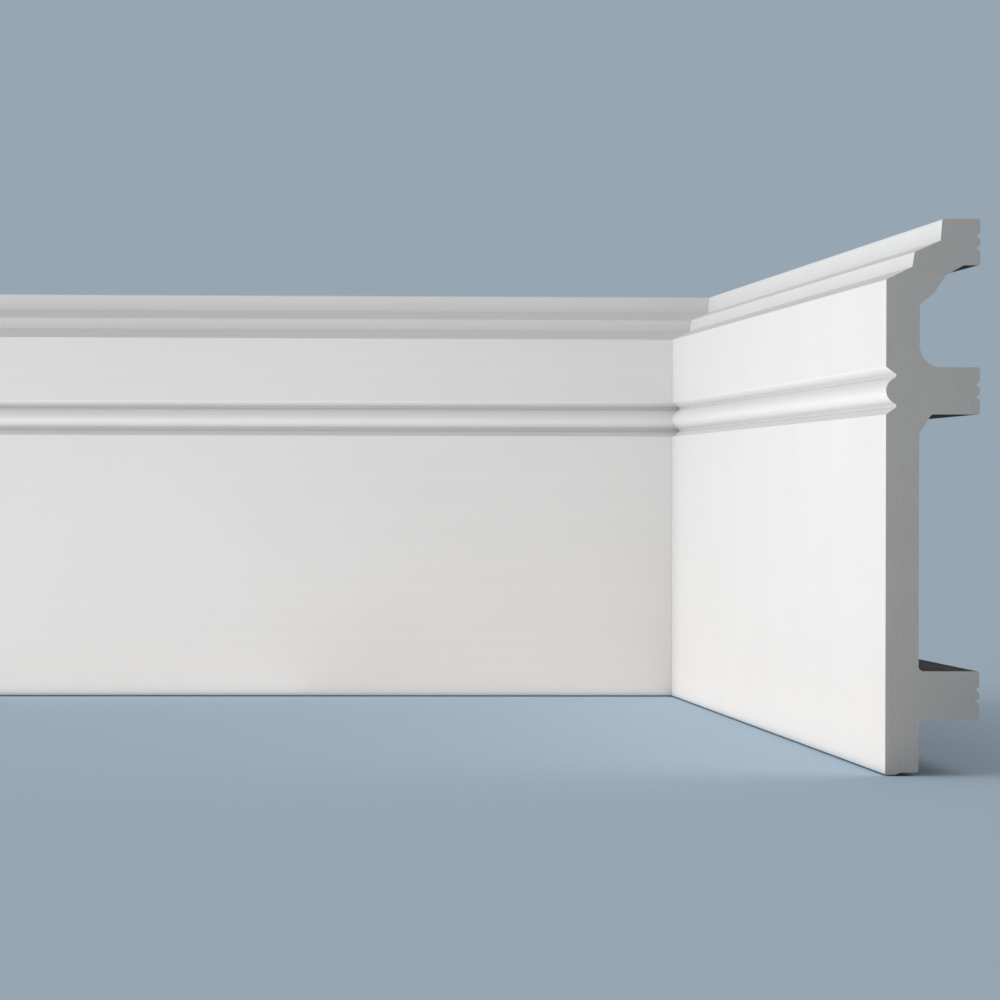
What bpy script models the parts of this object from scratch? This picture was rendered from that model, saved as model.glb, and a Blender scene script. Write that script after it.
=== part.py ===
"""Skirting board: two lengths of one hollow-backed moulding, mitred at an inside corner.

Metres, +Z up. The board's section is drawn once, with x as the depth behind the main face
and y as the height above the floor. The left board runs along X and the right board along Y.
The origin is on the floor, in the middle of the corner's bounding box.
"""

import math

import bmesh
import bpy
from mathutils import Matrix, Vector

# Overall sizes
HEIGHT = 0.200
DEPTH = 0.034
LEFT_LENGTH = 0.400
RIGHT_LENGTH = 0.840
MITRE_GAP = 0.0003

# The board behind the face
LOWER_THICKNESS = 0.0120
UPPER_THICKNESS = 0.01215

# The foot of the face: a narrow strip stands on the floor and the rest is relieved
FOOT_STRIP = 0.0036
FOOT_SLOPE = 0.0024
FOOT_RELIEF = 0.0008

# The bead between two quirks, sunk flush with the face
BEAD_DROP = 0.0619
BEAD_NOSE_RADIUS = 0.0046
BEAD_NOSE_FLAT = 0.0003
BEAD_FLANK_ANGLE = math.radians(58)
QUIRK_DEPTH = 0.00365
QUIRK_ROOT_WIDTH = 0.0010
QUIRK_OUTER_RISE = 0.00255
QUIRK_ROOT_RADIUS = 0.0002

# The stepped head, from the top down
FILLET_HEIGHT = 0.00785
FILLET_LEAN = 0.0006
UPPER_SLOPE_RUN = 0.0094
UPPER_SLOPE_RISE = 0.00415
FASCIA_HEIGHT = 0.0053
FASCIA_LEAN = 0.0008
LOWER_SLOPE_RUN = 0.0094
LOWER_SLOPE_RISE = 0.0046

# The back of the head, which follows the steps: how far it is behind and below each of them
HEAD_HIGH_BEHIND = 0.0020
HEAD_HIGH_BELOW = 0.0125
HEAD_MIDDLE_BEHIND = 0.0071
HEAD_MIDDLE_BELOW = 0.0148
HEAD_LOW_BELOW = 0.0088
HEAD_ROUNDING = 0.0020

# The ribs that reach the wall
TOP_RIB_THICKNESS = 0.0167
TOP_RIB_LEVEL = 0.0060
MIDDLE_RIB_THICKNESS = 0.0170
BOTTOM_RIB_THICKNESS = 0.0175
BOTTOM_RIB_HEIGHT = 0.0197
COVE_RADIUS = 0.0079
HAUNCH_RUN = 0.0044
HAUNCH_RISE = 0.0071
RIB_ROOT_RADIUS = 0.0018

# The glue grooves along the back of each rib
GROOVE_OFFSET = 0.00215
GROOVE_WIDTH = 0.0025
GROOVE_DEPTH = 0.0014

# Small roundings of the arrises
ARRIS_RADIUS = 0.0004
TOP_ARRIS_RADIUS = 0.0008
RIB_ARRIS_RADIUS = 0.0007
HEEL_RADIUS = 0.0010

# How arcs are drawn: the turn of one step, and the most of an edge that one rounding takes
ARC_STEP = math.radians(15)
MOST_OF_EDGE = 0.6


def arc_at(before, corner, after, radius):
    """Points that round a corner: one point if the radius is 0 or the corner is straight."""
    to_before = (before - corner).normalized()
    to_after = (after - corner).normalized()
    opening = to_before.angle(to_after)
    turn = math.pi - opening
    if radius == 0 or turn < ARC_STEP / 4:
        return [corner]
    shorter_edge = min((before - corner).length, (after - corner).length)
    reach = min(radius / math.tan(opening / 2), MOST_OF_EDGE * shorter_edge)
    radius = reach * math.tan(opening / 2)
    bisector = (to_before + to_after).normalized()
    centre = corner + bisector * (radius / math.sin(opening / 2))
    first = corner + to_before * reach - centre
    last = corner + to_after * reach - centre
    side = math.copysign(1, first.cross(last))
    steps = max(2, math.ceil(turn / ARC_STEP))
    return [centre + Matrix.Rotation(side * turn * i / steps, 2) @ first for i in range(steps + 1)]


def rounded(corners):
    """The closed outline through (x, y, radius) corners, each rounded by its radius."""
    places = [Vector((x, y)) for x, y, _ in corners]
    outline = []
    for i, (_, _, radius) in enumerate(corners):
        after = places[(i + 1) % len(places)]
        outline += arc_at(places[i - 1], places[i], after, radius)
    return outline


def face_corners():
    """The face from the floor up to the stepped head, with the bead between its quirks."""
    bead = HEIGHT - BEAD_DROP
    nose_half = BEAD_NOSE_RADIUS * math.tan(BEAD_FLANK_ANGLE / 2) + BEAD_NOSE_FLAT / 2
    root_inner = nose_half + QUIRK_DEPTH / math.tan(BEAD_FLANK_ANGLE)
    root_outer = root_inner + QUIRK_ROOT_WIDTH
    band_half = root_outer + QUIRK_OUTER_RISE
    return [
        (0, 0, ARRIS_RADIUS),
        (0, bead - band_half, ARRIS_RADIUS),
        (QUIRK_DEPTH, bead - root_outer, QUIRK_ROOT_RADIUS),
        (QUIRK_DEPTH, bead - root_inner, QUIRK_ROOT_RADIUS),
        (0, bead - nose_half, BEAD_NOSE_RADIUS),
        (0, bead + nose_half, BEAD_NOSE_RADIUS),
        (QUIRK_DEPTH, bead + root_inner, QUIRK_ROOT_RADIUS),
        (QUIRK_DEPTH, bead + root_outer, QUIRK_ROOT_RADIUS),
        (0, bead + band_half, ARRIS_RADIUS),
    ]


def head_places():
    """The four corners of the steps: face top, fascia foot, fascia top and fillet foot."""
    fillet_foot = Vector((
        LOWER_SLOPE_RUN + FASCIA_LEAN + UPPER_SLOPE_RUN,
        HEIGHT - FILLET_HEIGHT,
    ))
    fascia_top = fillet_foot - Vector((UPPER_SLOPE_RUN, UPPER_SLOPE_RISE))
    fascia_foot = fascia_top - Vector((FASCIA_LEAN, FASCIA_HEIGHT))
    face_top = fascia_foot - Vector((LOWER_SLOPE_RUN, LOWER_SLOPE_RISE))
    return face_top, fascia_foot, fascia_top, fillet_foot


def head_corners():
    """The stepped head, from the face up to the flat top."""
    face_top, fascia_foot, fascia_top, fillet_foot = head_places()
    return [
        (*face_top, ARRIS_RADIUS),
        (*fascia_foot, 0),
        (*fascia_top, ARRIS_RADIUS),
        (*fillet_foot, 0),
        (fillet_foot.x + FILLET_LEAN, HEIGHT, TOP_ARRIS_RADIUS),
    ]


def rib_end(top, thickness):
    """The wall side of a rib, from its top down, with two glue grooves about its middle."""
    middle = top - thickness / 2
    corners = [(DEPTH, top, RIB_ARRIS_RADIUS)]
    for groove in (middle + GROOVE_OFFSET, middle - GROOVE_OFFSET):
        corners += [
            (DEPTH, groove + GROOVE_WIDTH / 2, 0),
            (DEPTH - GROOVE_DEPTH, groove, 0),
            (DEPTH, groove - GROOVE_WIDTH / 2, 0),
        ]
    return corners + [(DEPTH, top - thickness, RIB_ARRIS_RADIUS)]


def back_corners():
    """The back of the board, from the top rib down to the foot."""
    face_top, _, fascia_top, fillet_foot = head_places()
    middle_rib_top = HEIGHT - BEAD_DROP + MIDDLE_RIB_THICKNESS / 2
    middle_rib_foot = middle_rib_top - MIDDLE_RIB_THICKNESS
    bottom_rib_top = BOTTOM_RIB_HEIGHT + BOTTOM_RIB_THICKNESS
    head_high = fillet_foot + Vector((HEAD_HIGH_BEHIND, -HEAD_HIGH_BELOW))
    head_middle = fascia_top + Vector((HEAD_MIDDLE_BEHIND, -HEAD_MIDDLE_BELOW))
    return [
        *rib_end(HEIGHT, TOP_RIB_THICKNESS),
        (DEPTH - TOP_RIB_LEVEL, HEIGHT - TOP_RIB_THICKNESS, HEAD_ROUNDING),
        (*head_high, HEAD_ROUNDING),
        (*head_middle, HEAD_ROUNDING),
        (UPPER_THICKNESS, face_top.y - HEAD_LOW_BELOW, HEAD_ROUNDING),
        (UPPER_THICKNESS, middle_rib_top, COVE_RADIUS),
        *rib_end(middle_rib_top, MIDDLE_RIB_THICKNESS),
        (LOWER_THICKNESS + HAUNCH_RUN, middle_rib_foot, RIB_ROOT_RADIUS),
        (LOWER_THICKNESS, middle_rib_foot - HAUNCH_RISE, RIB_ROOT_RADIUS),
        (LOWER_THICKNESS, bottom_rib_top, RIB_ROOT_RADIUS),
        *rib_end(bottom_rib_top, BOTTOM_RIB_THICKNESS),
        (LOWER_THICKNESS, BOTTOM_RIB_HEIGHT, RIB_ROOT_RADIUS),
        (LOWER_THICKNESS, FOOT_RELIEF, HEEL_RADIUS),
        (FOOT_STRIP + FOOT_SLOPE, FOOT_RELIEF, 0),
        (FOOT_STRIP, 0, 0),
    ]


def section():
    """The whole section as one closed outline."""
    return rounded(face_corners() + head_corners() + back_corners())


def clear_scene():
    for obj in list(bpy.data.objects):
        bpy.data.objects.remove(obj, do_unlink=True)


def new_collection(name):
    collection = bpy.data.collections.new(name)
    bpy.context.scene.collection.children.link(collection)
    return collection


def coat(name, colour, roughness):
    """The white coat of a board."""
    material = bpy.data.materials.new(name)
    material.use_nodes = True
    shader = material.node_tree.nodes["Principled BSDF"]
    shader.inputs["Base Color"].default_value = (*colour, 1)
    shader.inputs["Roughness"].default_value = roughness
    shader.inputs["Metallic"].default_value = 0
    return material


def moulding(name, length, centre, turn, collection):
    """A square-ended length of the moulding: its section drawn as a flat curve and extruded."""
    outline = section()
    curve = bpy.data.curves.new(name + "_section", "CURVE")
    curve.dimensions = "2D"
    curve.fill_mode = "BOTH"
    curve.extrude = length / 2
    spline = curve.splines.new("POLY")
    spline.points.add(len(outline) - 1)
    for point, (x, y) in zip(spline.points, outline):
        point.co = (x, y, 0, 1)
    spline.use_cyclic_u = True
    drawn = bpy.data.objects.new(name + "_section", curve)
    drawn.location = centre
    drawn.rotation_euler = turn
    collection.objects.link(drawn)
    bpy.context.view_layer.update()

    evaluated = drawn.evaluated_get(bpy.context.evaluated_depsgraph_get())
    mesh = bpy.data.meshes.new_from_object(evaluated)
    mesh.name = name
    shape = bmesh.new()
    shape.from_mesh(mesh)
    bmesh.ops.remove_doubles(shape, verts=shape.verts, dist=0.00001)
    bmesh.ops.recalc_face_normals(shape, faces=shape.faces)
    shape.to_mesh(mesh)
    shape.free()

    board = bpy.data.objects.new(name, mesh)
    board.matrix_world = drawn.matrix_world.copy()
    collection.objects.link(board)
    bpy.data.objects.remove(drawn)
    return board


def mitre(board, corner, away, cutters):
    """Cuts the board's inner end at 45 degrees. away points from the board across the cut."""
    side = 3 * DEPTH
    bpy.ops.mesh.primitive_cube_add(size=1, rotation=(0, 0, math.pi / 4))
    cutter = bpy.context.active_object
    cutter.name = board.name + "_mitre_cutter"
    cutter.scale = (side, side, 2 * HEIGHT)
    bpy.ops.object.transform_apply(location=False, rotation=False, scale=True)
    beyond_cut = away.normalized() * (side - MITRE_GAP) / 2
    cutter.location = corner + beyond_cut + Vector((0, 0, HEIGHT / 2))
    cutter.hide_render = True
    cutter.display_type = "WIRE"
    for holder in cutter.users_collection:
        holder.objects.unlink(cutter)
    cutters.objects.link(cutter)
    cut = board.modifiers.new("mitre", "BOOLEAN")
    cut.operation = "DIFFERENCE"
    cut.solver = "EXACT"
    cut.object = cutter


def finish_surface(board, material):
    board.data.materials.clear()
    board.data.materials.append(material)
    board.data.shade_smooth()
    board.data.set_sharp_from_angle(angle=math.radians(30))


def left_board(corner, boards, cutters):
    """The length along X, whose face looks to -Y and whose ribs reach a wall at +Y."""
    length = LEFT_LENGTH + DEPTH
    centre = corner + Vector((DEPTH - length / 2, 0, 0))
    board = moulding("left_board", length, centre, (math.pi / 2, 0, math.pi / 2), boards)
    mitre(board, corner, Vector((1, -1, 0)), cutters)
    finish_surface(board, coat("left_board_coat", (0.86, 0.86, 0.855), 0.45))


def right_board(corner, boards, cutters):
    """The length along Y, whose face looks to -X and whose ribs reach a wall at +X."""
    length = RIGHT_LENGTH + DEPTH
    centre = corner + Vector((0, DEPTH - length / 2, 0))
    board = moulding("right_board", length, centre, (math.pi / 2, 0, 0), boards)
    mitre(board, corner, Vector((-1, 1, 0)), cutters)
    finish_surface(board, coat("right_board_coat", (0.87, 0.87, 0.865), 0.45))


def main():
    clear_scene()
    boards = new_collection("skirting_board")
    cutters = new_collection("cutters")
    corner = Vector(((LEFT_LENGTH - DEPTH) / 2, (RIGHT_LENGTH - DEPTH) / 2, 0))
    left_board(corner, boards, cutters)
    right_board(corner, boards, cutters)


main()
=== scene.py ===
import math

import bmesh
import bpy
from mathutils import Matrix, Vector


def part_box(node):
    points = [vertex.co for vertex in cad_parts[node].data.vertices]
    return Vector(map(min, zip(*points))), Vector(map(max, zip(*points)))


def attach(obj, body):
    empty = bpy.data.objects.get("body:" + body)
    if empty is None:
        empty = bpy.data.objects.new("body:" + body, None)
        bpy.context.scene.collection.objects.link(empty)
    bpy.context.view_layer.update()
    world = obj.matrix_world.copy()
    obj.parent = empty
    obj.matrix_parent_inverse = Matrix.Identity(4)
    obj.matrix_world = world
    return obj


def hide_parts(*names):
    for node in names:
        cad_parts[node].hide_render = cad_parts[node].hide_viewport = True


# Two lengths of a hollow-backed skirting board, mitred at an inside corner.
# Each board is shaped on a bench, in metres: x along the board, y behind its face, z up,
# with the mitre at x = 0. A place of the section is a pair (y, z). The finished board is then
# put where the frame has it.

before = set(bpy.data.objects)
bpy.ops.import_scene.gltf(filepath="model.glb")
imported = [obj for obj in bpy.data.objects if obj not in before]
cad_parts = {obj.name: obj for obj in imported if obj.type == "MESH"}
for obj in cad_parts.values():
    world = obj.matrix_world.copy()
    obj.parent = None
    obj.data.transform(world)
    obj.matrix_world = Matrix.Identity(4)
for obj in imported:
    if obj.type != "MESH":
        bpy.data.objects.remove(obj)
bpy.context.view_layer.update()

# Driving sizes, from the frame
left_low, left_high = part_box("left_board")
right_low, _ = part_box("right_board")
HEIGHT = left_high.z
DEPTH = left_high.y - left_low.y
CORNER = Vector((right_low.x, left_low.y, 0))
LEFT_LENGTH = CORNER.x - left_low.x
RIGHT_LENGTH = CORNER.y - right_low.y

# The joint, glued almost shut, and how far past it a board runs before the mitre is cut
GLUE_LINE = 0.00008
PAST_MITRE = 2 * DEPTH

# The wall of the board
LOWER_THICKNESS = 0.0120
UPPER_THICKNESS = 0.01215
FACE_TOP = 0.1781
WALL_BACK_TOP = 0.1693
FOOT_STRIP = 0.0036
FOOT_RELIEF_START = 0.0060
FOOT_RELIEF = 0.0008

# The bead between its quirks. The last four are heights above or below the bead's middle.
BEAD_HEIGHT = 0.1381
NOSE_RADIUS = 0.0046
NOSE_MARGIN = 0.00015
FLANK_ANGLE = math.radians(58)
QUIRK_DEPTH = 0.00365
ROOT_WIDTH = 0.0010
OUTER_FLANK = 0.00255
NOSE_HALF = NOSE_RADIUS * math.tan(FLANK_ANGLE / 2) + NOSE_MARGIN
ROOT_INNER = NOSE_HALF + QUIRK_DEPTH / math.tan(FLANK_ANGLE)
ROOT_OUTER = ROOT_INNER + ROOT_WIDTH
BAND_HALF = ROOT_OUTER + OUTER_FLANK

# The steps of the head: where each one's front and back edges are
HEAD_STEPS = (
    ((0.0094, 0.1827), (0.0173, 0.1732)),
    ((0.0102, 0.1880), (0.0216, 0.17965)),
    ((0.0196, 0.19215), (0.0280, 0.1833)),
    ((0.0202, HEIGHT), (0.0280, HEIGHT)),
)

# The ribs, from bottom to top
BOTTOM_RIB = (0.0197, 0.0372)
MIDDLE_RIB = (0.1296, 0.1466)
TOP_RIB = (0.1833, HEIGHT)
HAUNCH_FOOT = 0.1225
HAUNCH_RUN = 0.0044
GROOVE_OFFSET = 0.00215
GROOVE_HALF = 0.00125
GROOVE_DEPTH = 0.0014

# Roundings, and how finely an arc is cut
ARRIS = 0.0004
TOP_ARRIS = 0.0008
RIB_ARRIS = 0.0007
HEEL = 0.0010
RIB_ROOT = 0.0018
HEAD_ROUNDING = 0.0020
COVE = 0.0079
QUIRK_ROOT = 0.0002
ARC_STEP = math.radians(7.5)
SMOOTH_BELOW = math.radians(20)

# Two places closer than this are the same place
NEAR = 0.00005


# Selecting on the bench

def at(*places):
    """A test for what has all its corners at these places of the section."""
    def test(item):
        corners = [item] if isinstance(item, bmesh.types.BMVert) else item.verts
        return all(
            any(abs(corner.co.y - y) < NEAR and abs(corner.co.z - z) < NEAR for y, z in places)
            for corner in corners
        )
    return test


def facing(direction, keep=lambda centre: True):
    """A test for faces that look in a direction and whose centre passes another test."""
    aim = Vector(direction)
    return lambda face: face.normal.dot(aim) > 0.99 and keep(face.calc_center_median())


def pick(board, kind, test):
    """Selects the vertices, edges or faces that pass a test, and nothing else."""
    bpy.ops.mesh.select_mode(type=kind)
    bpy.ops.mesh.select_all(action="DESELECT")
    mesh = bmesh.from_edit_mesh(board.data)
    for item in {"VERT": mesh.verts, "EDGE": mesh.edges, "FACE": mesh.faces}[kind]:
        if test(item):
            item.select_set(True)
    mesh.select_flush_mode()
    bmesh.update_edit_mesh(board.data)


# Shaping on the bench

def shift(y=0, z=0):
    """Moves what is selected."""
    bpy.ops.transform.translate(value=(0, y, z))


def draw_out(y=0, z=0):
    """Extrudes what is selected."""
    bpy.ops.mesh.extrude_region_move(TRANSFORM_OT_translate={"value": (0, y, z)})


def score(board, test, place, normal):
    """Cuts a line across the faces that pass a test."""
    pick(board, "FACE", test)
    bpy.ops.mesh.bisect(plane_co=place, plane_no=normal)


def round_edge(board, place, radius):
    """Rounds the long edge at a place of the section."""
    pick(board, "EDGE", at(place))
    mesh = bmesh.from_edit_mesh(board.data)
    turn = next(edge.calc_face_angle() for edge in mesh.edges if edge.select)
    bpy.ops.mesh.bevel(
        offset=radius * math.tan(turn / 2),
        segments=max(2, math.ceil(turn / ARC_STEP)),
        profile=0.5,
    )


def wall(name, start, end):
    """The plain wall of the board, from one end to the other."""
    bpy.ops.object.select_all(action="DESELECT")
    bpy.ops.mesh.primitive_cube_add(
        size=1,
        location=((start + end) / 2, LOWER_THICKNESS / 2, FACE_TOP / 2),
        scale=(end - start, LOWER_THICKNESS, FACE_TOP),
    )
    board = bpy.context.active_object
    board.name = name
    board.data.name = name
    bpy.ops.object.transform_apply(location=True, rotation=True, scale=True)
    return board


def relieve_foot(board):
    """A narrow strip stands on the floor, and the rest of the underside is lifted."""
    for depth in (FOOT_STRIP, FOOT_RELIEF_START):
        score(board, facing((0, 0, -1), lambda centre: centre.z < NEAR), (0, depth, 0), (0, 1, 0))
    pick(board, "VERT", at((FOOT_RELIEF_START, 0), (LOWER_THICKNESS, 0)))
    shift(z=FOOT_RELIEF)


def draw_ribs(board):
    """The bottom rib, and the middle rib with the haunch below it."""
    for height in (*BOTTOM_RIB, HAUNCH_FOOT, *MIDDLE_RIB):
        score(board, facing((0, 1, 0)), (0, 0, height), (0, 0, 1))
    for rib in (BOTTOM_RIB, MIDDLE_RIB):
        pick(board, "FACE", at(*((LOWER_THICKNESS, height) for height in rib)))
        draw_out(y=DEPTH - LOWER_THICKNESS)

    foot = MIDDLE_RIB[0]
    score(board, facing((0, 0, -1), lambda centre: abs(centre.z - foot) < NEAR),
          (0, LOWER_THICKNESS + HAUNCH_RUN, 0), (0, 1, 0))
    pick(board, "VERT", at((LOWER_THICKNESS, foot)))
    shift(y=HAUNCH_RUN / 2, z=(HAUNCH_FOOT - foot) / 2)


def draw_head(board):
    """The thicker upper wall, the stepped head above it, and the top rib."""
    thicker = UPPER_THICKNESS - LOWER_THICKNESS
    pick(board, "VERT", at((LOWER_THICKNESS, MIDDLE_RIB[1])))
    shift(y=thicker)
    pick(board, "VERT", at((LOWER_THICKNESS, FACE_TOP)))
    shift(y=thicker, z=WALL_BACK_TOP - FACE_TOP)

    front, back = (Vector(place) for place in ((0, FACE_TOP), (UPPER_THICKNESS, WALL_BACK_TOP)))
    for next_front, next_back in HEAD_STEPS:
        rise = Vector(next_front) - front
        pick(board, "FACE", at(front, back))
        draw_out(*rise)
        pick(board, "VERT", at(back + rise))
        shift(*(Vector(next_back) - back - rise))
        front, back = Vector(next_front), Vector(next_back)

    pick(board, "FACE", at(HEAD_STEPS[-2][1], HEAD_STEPS[-1][1]))
    draw_out(y=DEPTH - back.x)


def cut_bead(board):
    """The face is scored on both sides of the bead, and two lines a side are sunk as a quirk."""
    sunk = []
    for side in (-1, 1):
        for rise in (NOSE_HALF, ROOT_INNER, ROOT_OUTER, BAND_HALF):
            score(board, facing((0, -1, 0)), (0, 0, BEAD_HEIGHT + side * rise), (0, 0, 1))
        sunk += [(0, BEAD_HEIGHT + side * rise) for rise in (ROOT_INNER, ROOT_OUTER)]
    pick(board, "VERT", at(*sunk))
    shift(y=QUIRK_DEPTH)


def cut_glue_grooves(board):
    """Two V grooves along the back of each rib."""
    for low, high in (BOTTOM_RIB, MIDDLE_RIB, TOP_RIB):
        for side in (-1, 1):
            groove = (low + high) / 2 + side * GROOVE_OFFSET
            for rise in (-GROOVE_HALF, 0, GROOVE_HALF):
                score(board, facing((0, 1, 0), lambda centre: centre.y > DEPTH - NEAR),
                      (0, 0, groove + rise), (0, 0, 1))
            pick(board, "VERT", at((DEPTH, groove)))
            shift(y=-GROOVE_DEPTH)


def round_section(board):
    """Rounds the long edges, front and back."""
    for place in ((0, 0), (0, FACE_TOP), HEAD_STEPS[1][0]):
        round_edge(board, place, ARRIS)
    for side in (-1, 1):
        round_edge(board, (0, BEAD_HEIGHT + side * BAND_HALF), ARRIS)
        for rise in (ROOT_OUTER, ROOT_INNER):
            round_edge(board, (QUIRK_DEPTH, BEAD_HEIGHT + side * rise), QUIRK_ROOT)
        round_edge(board, (0, BEAD_HEIGHT + side * NOSE_HALF), NOSE_RADIUS)
    round_edge(board, HEAD_STEPS[3][0], TOP_ARRIS)
    for height in (*BOTTOM_RIB, *MIDDLE_RIB, *TOP_RIB):
        round_edge(board, (DEPTH, height), RIB_ARRIS)
    round_edge(board, (LOWER_THICKNESS, FOOT_RELIEF), HEEL)
    for place in ((LOWER_THICKNESS, BOTTOM_RIB[0]), (LOWER_THICKNESS, BOTTOM_RIB[1]),
                  (LOWER_THICKNESS, HAUNCH_FOOT), (LOWER_THICKNESS + HAUNCH_RUN, MIDDLE_RIB[0])):
        round_edge(board, place, RIB_ROOT)
    round_edge(board, (UPPER_THICKNESS, MIDDLE_RIB[1]), COVE)
    for place in ((UPPER_THICKNESS, WALL_BACK_TOP), *(back for _, back in HEAD_STEPS[:3])):
        round_edge(board, place, HEAD_ROUNDING)


def cut_mitre(board, kept_side):
    """Cuts the inner end at 45 degrees. kept_side is -1 for a board that runs to -x, else 1."""
    outward = Vector((-kept_side, -1, 0)).normalized()
    bpy.ops.mesh.select_all(action="SELECT")
    bpy.ops.mesh.bisect(
        plane_co=-outward * GLUE_LINE / 2,
        plane_no=outward,
        use_fill=True,
        clear_outer=True,
    )


def moulding(name, start, end, kept_side):
    """A board on the bench, from its mitre to its square end."""
    board = wall(name, start, end)
    bpy.ops.object.mode_set(mode="EDIT")
    relieve_foot(board)
    draw_ribs(board)
    draw_head(board)
    cut_bead(board)
    cut_glue_grooves(board)
    round_section(board)
    cut_mitre(board, kept_side)
    bpy.ops.object.mode_set(mode="OBJECT")
    return board


# Finishes

# Painted shade in the quirks: how much of its lightness the coat keeps in the roots, and over
# what rise it turns back to full white on the flanks that look up
PAINTED_QUIRK_SHADE = 0.75
PAINTED_QUIRK_SHADE_EDGE = 0.0006


def new_group(name, inputs, outputs):
    """An empty node group with number and vector sockets. Returns it with its two end nodes."""
    group = bpy.data.node_groups.new(name, "ShaderNodeTree")
    for label, kind, value in inputs:
        socket = group.interface.new_socket(label, in_out="INPUT", socket_type=kind)
        if value is not None:
            socket.default_value = value
    for label in outputs:
        group.interface.new_socket(label, in_out="OUTPUT", socket_type="NodeSocketFloat")
    return group, group.nodes.new("NodeGroupInput"), group.nodes.new("NodeGroupOutput")


def math_node(tree, operation, first, second):
    """A Math node on two sockets or numbers. Returns its result."""
    node = tree.nodes.new("ShaderNodeMath")
    node.operation = operation
    for socket, value in zip(node.inputs, (first, second)):
        if isinstance(value, bpy.types.NodeSocket):
            tree.links.new(value, socket)
        else:
            socket.default_value = value
    return node.outputs[0]


def make_speckle_group():
    """Soft specks of one size, for the coat's orange peel, the core's cells and slow clouds."""
    group, ins, outs = new_group(
        "speckle",
        (("Place", "NodeSocketVector", None), ("Size", "NodeSocketFloat", 0.001),
         ("Detail", "NodeSocketFloat", 2.0)),
        ("Speck",),
    )
    noise = group.nodes.new("ShaderNodeTexNoise")
    noise.inputs["Roughness"].default_value = 0.55
    group.links.new(ins.outputs["Place"], noise.inputs["Vector"])
    group.links.new(ins.outputs["Detail"], noise.inputs["Detail"])
    group.links.new(math_node(group, "DIVIDE", 1.0, ins.outputs["Size"]), noise.inputs["Scale"])
    group.links.new(noise.outputs["Fac"], outs.inputs["Speck"])
    return group


def make_streak_group():
    """Long thin streaks along the board, as the die and the coating line leave them."""
    group, ins, outs = new_group(
        "die_streaks",
        (("Place", "NodeSocketVector", None), ("Width", "NodeSocketFloat", 0.002),
         ("Length", "NodeSocketFloat", 0.4)),
        ("Streak",),
    )
    size = group.nodes.new("ShaderNodeCombineXYZ")
    group.links.new(ins.outputs["Length"], size.inputs["X"])
    group.links.new(ins.outputs["Width"], size.inputs["Y"])
    group.links.new(ins.outputs["Width"], size.inputs["Z"])
    stretch = group.nodes.new("ShaderNodeVectorMath")
    stretch.operation = "DIVIDE"
    group.links.new(ins.outputs["Place"], stretch.inputs[0])
    group.links.new(size.outputs[0], stretch.inputs[1])
    noise = group.nodes.new("ShaderNodeTexNoise")
    noise.inputs["Scale"].default_value = 1.0
    noise.inputs["Detail"].default_value = 3.0
    group.links.new(stretch.outputs[0], noise.inputs["Vector"])
    group.links.new(noise.outputs["Fac"], outs.inputs["Streak"])
    return group


SPECKLE = make_speckle_group()
STREAKS = make_streak_group()


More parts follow.
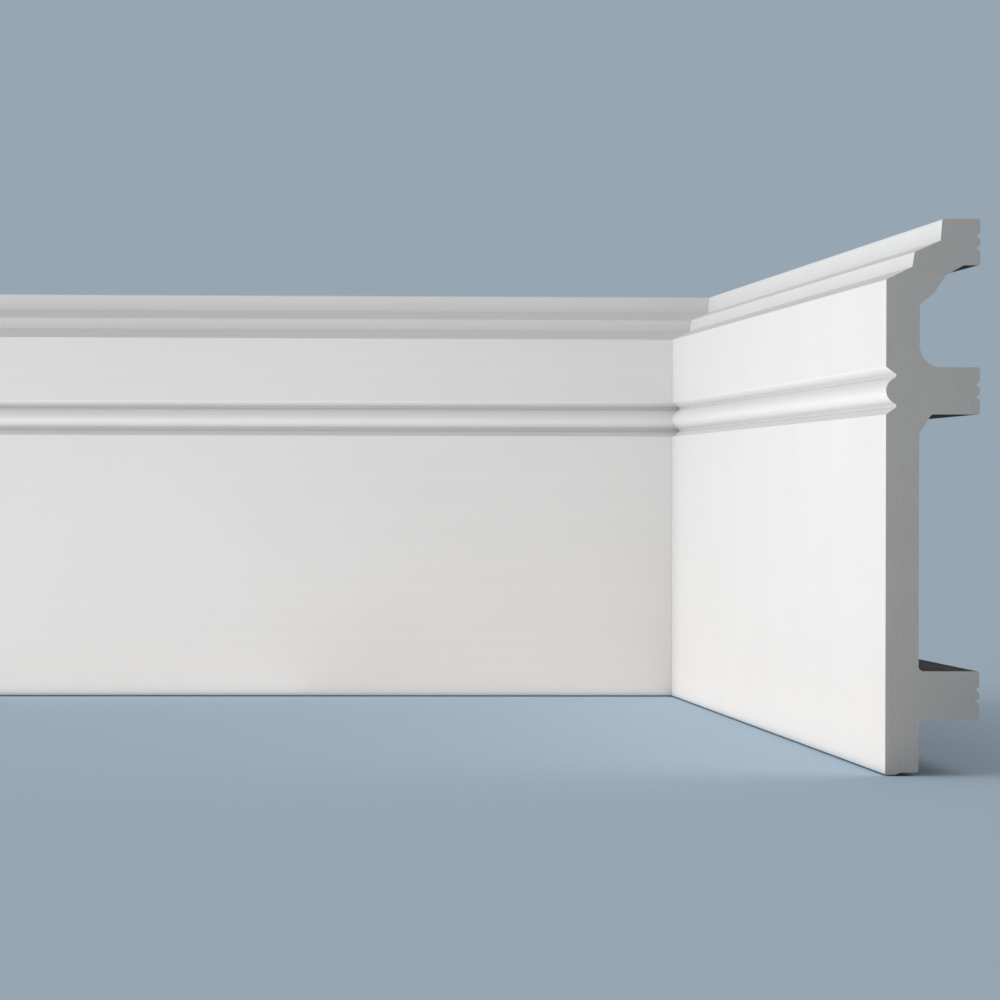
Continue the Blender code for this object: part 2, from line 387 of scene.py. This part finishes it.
class Finish:
    """A material under way: its tree, its shader and the bench coordinates of a board."""

    def __init__(self, name, turn):
        self.material = bpy.data.materials.new(name)
        self.material.use_nodes = True
        self.tree = self.material.node_tree
        self.shader = self.tree.nodes["Principled BSDF"]
        where = self.tree.nodes.new("ShaderNodeTexCoord")
        mapping = self.tree.nodes.new("ShaderNodeMapping")
        mapping.inputs["Rotation"].default_value = (0, 0, -turn)
        self.link(where.outputs["Object"], mapping.inputs["Vector"])
        self.place = mapping.outputs["Vector"]

    def link(self, output, socket):
        self.tree.links.new(output, socket)

    def speckle(self, size, detail=2.0):
        node = self.tree.nodes.new("ShaderNodeGroup")
        node.node_tree = SPECKLE
        self.link(self.place, node.inputs["Place"])
        node.inputs["Size"].default_value = size
        node.inputs["Detail"].default_value = detail
        return node.outputs["Speck"]

    def streaks(self, width, length):
        node = self.tree.nodes.new("ShaderNodeGroup")
        node.node_tree = STREAKS
        self.link(self.place, node.inputs["Place"])
        node.inputs["Width"].default_value = width
        node.inputs["Length"].default_value = length
        return node.outputs["Streak"]

    def between(self, pattern, low, high):
        """A pattern that runs from 0.3 to 0.7, spread over a range of values."""
        node = self.tree.nodes.new("ShaderNodeMapRange")
        node.inputs["From Min"].default_value = 0.3
        node.inputs["From Max"].default_value = 0.7
        node.inputs["To Min"].default_value = low
        node.inputs["To Max"].default_value = high
        self.link(pattern, node.inputs["Value"])
        return node.outputs["Result"]

    def across_bead(self, *stops):
        """A value that runs through stops: how far up from the bead's middle, and the value."""
        place = self.tree.nodes.new("ShaderNodeSeparateXYZ")
        self.link(self.place, place.inputs["Vector"])
        share = self.tree.nodes.new("ShaderNodeMapRange")
        share.inputs["From Min"].default_value = BEAD_HEIGHT - BAND_HALF
        share.inputs["From Max"].default_value = BEAD_HEIGHT + BAND_HALF
        self.link(place.outputs["Z"], share.inputs["Value"])
        ramp = self.tree.nodes.new("ShaderNodeValToRGB")
        for rise, value in stops:
            stop = ramp.color_ramp.elements.new((rise / BAND_HALF + 1) / 2)
            stop.color = (value, value, value, 1)
        for end in (ramp.color_ramp.elements[0], ramp.color_ramp.elements[-1]):
            end.color = (1, 1, 1, 1)
        self.link(share.outputs["Result"], ramp.inputs["Fac"])
        return ramp.outputs["Color"]

    def paint(self, tint, *shades):
        """Base Color: a tint times the product of several shades."""
        product = shades[0]
        for shade in shades[1:]:
            product = math_node(self.tree, "MULTIPLY", product, shade)
        tinted = self.tree.nodes.new("ShaderNodeVectorMath")
        tinted.operation = "SCALE"
        tinted.inputs[0].default_value = tint
        self.link(product, tinted.inputs["Scale"])
        self.link(tinted.outputs[0], self.shader.inputs["Base Color"])

    def relief(self, height, depth):
        """Fine relief of a real depth, in metres, from a height between 0 and 1."""
        bump = self.tree.nodes.new("ShaderNodeBump")
        bump.inputs["Strength"].default_value = 1.0
        bump.inputs["Distance"].default_value = depth
        self.link(height, bump.inputs["Height"])
        self.link(bump.outputs["Normal"], self.shader.inputs["Normal"])


def white_coat(side, turn):
    """Smooth satin primer: almost even, with faint clouds, streaks and orange peel. Painted shade
    darkens the quirks towards the root, most of all on the flanks that look down."""
    finish = Finish("white_coat_" + side, turn)
    streaks = finish.streaks(width=0.004, length=0.5)
    clouds = finish.speckle(size=0.09, detail=1.0)
    peel = finish.speckle(size=0.0011)
    # Painted shade: the coat is darkened in the roots of the quirks and on their down-looking
    # flanks
    painted_quirk_shade = finish.across_bead(
        (-ROOT_OUTER - PAINTED_QUIRK_SHADE_EDGE, 1),
        (-ROOT_OUTER, PAINTED_QUIRK_SHADE),
        (-ROOT_INNER, PAINTED_QUIRK_SHADE),
        (-NOSE_HALF / 2, 1),
        (ROOT_INNER - PAINTED_QUIRK_SHADE_EDGE, 1),
        (ROOT_INNER, PAINTED_QUIRK_SHADE),
        (ROOT_OUTER, PAINTED_QUIRK_SHADE),
    )
    finish.paint(
        (1, 1, 0.997),
        finish.between(clouds, 0.79, 0.81),
        finish.between(streaks, 0.985, 1.0),
        painted_quirk_shade,
    )
    finish.link(finish.between(peel, 0.42, 0.54), finish.shader.inputs["Roughness"])
    finish.relief(peel, 0.000012)
    return finish.material


def sawn_core(side, turn):
    """Dense grey polymer cut by a saw: fine cells, and the faint arcs of the blade."""
    finish = Finish("sawn_core_" + side, turn)
    cells = finish.speckle(size=0.0005, detail=3.0)
    clouds = finish.speckle(size=0.012, detail=1.0)
    blade = finish.tree.nodes.new("ShaderNodeMapping")
    blade.inputs["Location"].default_value = (0, 0.10, -0.02)
    finish.link(finish.place, blade.inputs["Vector"])
    arcs = finish.tree.nodes.new("ShaderNodeTexWave")
    arcs.wave_type = "RINGS"
    arcs.rings_direction = "X"
    arcs.inputs["Scale"].default_value = 110
    arcs.inputs["Distortion"].default_value = 3.0
    arcs.inputs["Detail"].default_value = 2.0
    finish.link(blade.outputs["Vector"], arcs.inputs["Vector"])
    finish.paint(
        (1.02, 1.0, 0.975),
        finish.between(cells, 0.45, 0.49),
        finish.between(clouds, 0.98, 1.02),
        finish.between(arcs.outputs["Fac"], 0.985, 1.005),
    )
    finish.link(finish.between(cells, 0.85, 0.7), finish.shader.inputs["Roughness"])
    finish.relief(cells, 0.00004)
    return finish.material


def painted_shade_back(side, turn):
    """The back, painted near-black as painted shade for the shaded sides of the ribs, with the
    smooth streaked skin the die draws.
    """
    finish = Finish("painted_shade_back_" + side, turn)
    streaks = finish.streaks(width=0.0012, length=0.6)
    clouds = finish.speckle(size=0.03)
    # Painted shade: the back is near-black so that the ribs' shaded sides come out near-black
    finish.paint((0.9, 1.0, 1.05), finish.between(streaks, 0.030, 0.042),
                 finish.between(clouds, 0.9, 1.1))
    finish.shader.inputs["Specular IOR Level"].default_value = 0.2
    finish.link(finish.between(streaks, 0.6, 0.75), finish.shader.inputs["Roughness"])
    finish.relief(streaks, 0.00005)
    return finish.material


def finish_board(board, side, turn):
    """White on the face, the head and the foot strip, bare core at the ends, painted near-black
    shade behind.
    """
    def coated(face):
        centre = face.calc_center_median()
        if abs(face.normal.x) > 0.5:
            return False
        on_top = centre.z > HEIGHT - NEAR
        on_foot_strip = centre.z < NEAR and centre.y < FOOT_STRIP
        return face.normal.y < -0.01 or on_top or on_foot_strip

    finishes = (
        (painted_shade_back, lambda face: True),
        (white_coat, coated),
        (sawn_core, lambda face: abs(face.normal.x) > 0.5),
    )
    bpy.ops.object.mode_set(mode="EDIT")
    for slot, (finish, test) in enumerate(finishes):
        board.data.materials.append(finish(side, turn))
        pick(board, "FACE", test)
        board.active_material_index = slot
        bpy.ops.object.material_slot_assign()
    bpy.ops.object.mode_set(mode="OBJECT")


def smooth_arcs(board):
    """Arcs shade as round and flat faces as flat."""
    bpy.ops.object.select_all(action="DESELECT")
    board.select_set(True)
    bpy.context.view_layer.objects.active = board
    bpy.ops.object.shade_smooth_by_angle(angle=SMOOTH_BELOW)
    weighted = board.modifiers.new("flat_faces_first", "WEIGHTED_NORMAL")
    weighted.mode = "FACE_AREA"
    weighted.keep_sharp = True
    bpy.ops.object.modifier_apply(modifier=weighted.name)


def put_in_place(board, turn):
    """Takes a board from the bench to the corner."""
    board.matrix_world = Matrix.Translation(CORNER) @ Matrix.Rotation(turn, 4, "Z")
    bpy.ops.object.transform_apply(location=True, rotation=True, scale=True)


def build(node, side, start, end, kept_side, turn):
    """A finished board in the place of its node."""
    board = moulding(side + "_moulding", start, end, kept_side)
    finish_board(board, side, turn)
    smooth_arcs(board)
    put_in_place(board, turn)
    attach(board, "root")
    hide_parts(node)
    lit_boards.objects.link(board)


# What the studio's lights fall on
lit_boards = bpy.data.collections.new("lit_boards")

build("left_board", "left", start=-LEFT_LENGTH, end=PAST_MITRE, kept_side=-1, turn=0)
build("right_board", "right", start=-PAST_MITRE, end=RIGHT_LENGTH, kept_side=1,
      turn=-math.pi / 2)


# Studio

# The backdrop's colour, and a floor that looks the same in the even grey light
BACKDROP = (0.305, 0.381, 0.451)
FLOOR_COLOUR = (0.594, 0.751, 0.896)

# The floor lies just below the boards, and the bounce cards just above the floor
FLOOR_SIZE = 300
FLOOR_HEIGHT = -0.0005
CARD_HEIGHT = 0.0006

# A long lens far away, fitted to the outlines in the photograph
CAMERA_PLACE = CORNER + Vector((-0.2724, -2.9658, 0.1004))
CAMERA_YAW = math.radians(-3.592)
CAMERA_PITCH = math.radians(90 - 0.053)
CAMERA_ROLL = math.radians(0.144)
LENS_MM = 214.2
SENSOR_MM = 36


def make_floor():
    """A wide even floor."""
    bpy.ops.mesh.primitive_plane_add(size=FLOOR_SIZE, location=(0, 0, FLOOR_HEIGHT))
    floor = bpy.context.active_object
    floor.name = "floor"
    paint = bpy.data.materials.new("pale_floor")
    paint.use_nodes = True
    shader = paint.node_tree.nodes["Principled BSDF"]
    shader.inputs["Base Color"].default_value = (*FLOOR_COLOUR, 1)
    shader.inputs["Roughness"].default_value = 0.9
    shader.inputs["Specular IOR Level"].default_value = 0.1
    floor.data.materials.append(paint)


def make_world():
    """Even grey light all round, with a pale backdrop for the camera."""
    world = bpy.data.worlds.new("studio")
    world.use_nodes = True
    bpy.context.scene.world = world
    tree = world.node_tree
    light = tree.nodes["Background"]
    light.inputs["Color"].default_value = (1, 1, 1, 1)
    light.inputs["Strength"].default_value = 0.5
    seen = tree.nodes.new("ShaderNodeBackground")
    seen.inputs["Color"].default_value = (*BACKDROP, 1)
    path = tree.nodes.new("ShaderNodeLightPath")
    mix = tree.nodes.new("ShaderNodeMixShader")
    tree.links.new(path.outputs["Is Camera Ray"], mix.inputs["Fac"])
    tree.links.new(light.outputs[0], mix.inputs[1])
    tree.links.new(seen.outputs[0], mix.inputs[2])
    tree.links.new(mix.outputs[0], tree.nodes["World Output"].inputs["Surface"])


def soft_light(name, place, turn, size, watts, colour=(1, 1, 1)):
    """A rectangular soft light that the camera doesn't see. It falls on the boards alone, so
    that the floor stays even."""
    lamp = bpy.data.lights.new(name, "AREA")
    lamp.shape = "RECTANGLE"
    lamp.size, lamp.size_y = size
    lamp.energy = watts
    lamp.color = colour
    stand = bpy.data.objects.new(name, lamp)
    stand.location = place
    stand.rotation_euler = turn
    stand.visible_camera = False
    stand.light_linking.receiver_collection = lit_boards
    bpy.context.scene.collection.objects.link(stand)


def softbox(name, place, aim, size, watts):
    """A soft light on a stand, turned towards its aim."""
    turn = (Vector(aim) - Vector(place)).to_track_quat("-Z", "Y").to_euler()
    soft_light(name, place, turn, size, watts)


def floor_card(name, low, high, glow):
    """A bounce card that lies on the floor and fills the boards from below. glow is its
    radiance, warm enough to make up for the floor's blue."""
    width, depth = (end - start for start, end in zip(low, high))
    middle = ((low[0] + high[0]) / 2, (low[1] + high[1]) / 2, CARD_HEIGHT)
    brightest = max(glow)
    watts = math.pi * width * depth * brightest
    soft_light(name, middle, (math.pi, 0, 0), (width, depth), watts,
               tuple(part / brightest for part in glow))


def make_camera():
    """A long lens at half the board's height, turned a little towards the right board."""
    lens = bpy.data.cameras.new("camera")
    lens.sensor_width = SENSOR_MM
    lens.lens = LENS_MM
    lens.clip_end = FLOOR_SIZE
    camera = bpy.data.objects.new("camera", lens)
    bpy.context.scene.collection.objects.link(camera)
    stand = Matrix.Translation(CAMERA_PLACE)
    yaw = Matrix.Rotation(CAMERA_YAW, 4, "Z")
    pitch = Matrix.Rotation(CAMERA_PITCH, 4, "X")
    roll = Matrix.Rotation(CAMERA_ROLL, 4, "Z")
    camera.matrix_world = stand @ yaw @ pitch @ roll
    bpy.context.scene.camera = camera


make_floor()
make_world()
softbox("left_softbox", place=(-3.64, 0.19, 0.65), aim=(0.1, 0.2, 0.1), size=(1.4, 1.1), watts=50)
floor_card("near_card", low=(-0.6, 0.30), high=(0.0, 0.4015), glow=(0.86, 0.75, 0.66))
floor_card("middle_card", low=(-0.6, -0.10), high=(0.0, 0.30), glow=(1.19, 1.10, 1.03))
floor_card("far_card", low=(-0.6, -1.00), high=(0.0, -0.10), glow=(1.69, 1.61, 1.55))
floor_card("right_card", low=(0.0, -1.00), high=(0.181, 0.4015), glow=(0.67, 0.55, 0.45))
make_camera()
bpy.context.scene.view_settings.view_transform = "Standard"
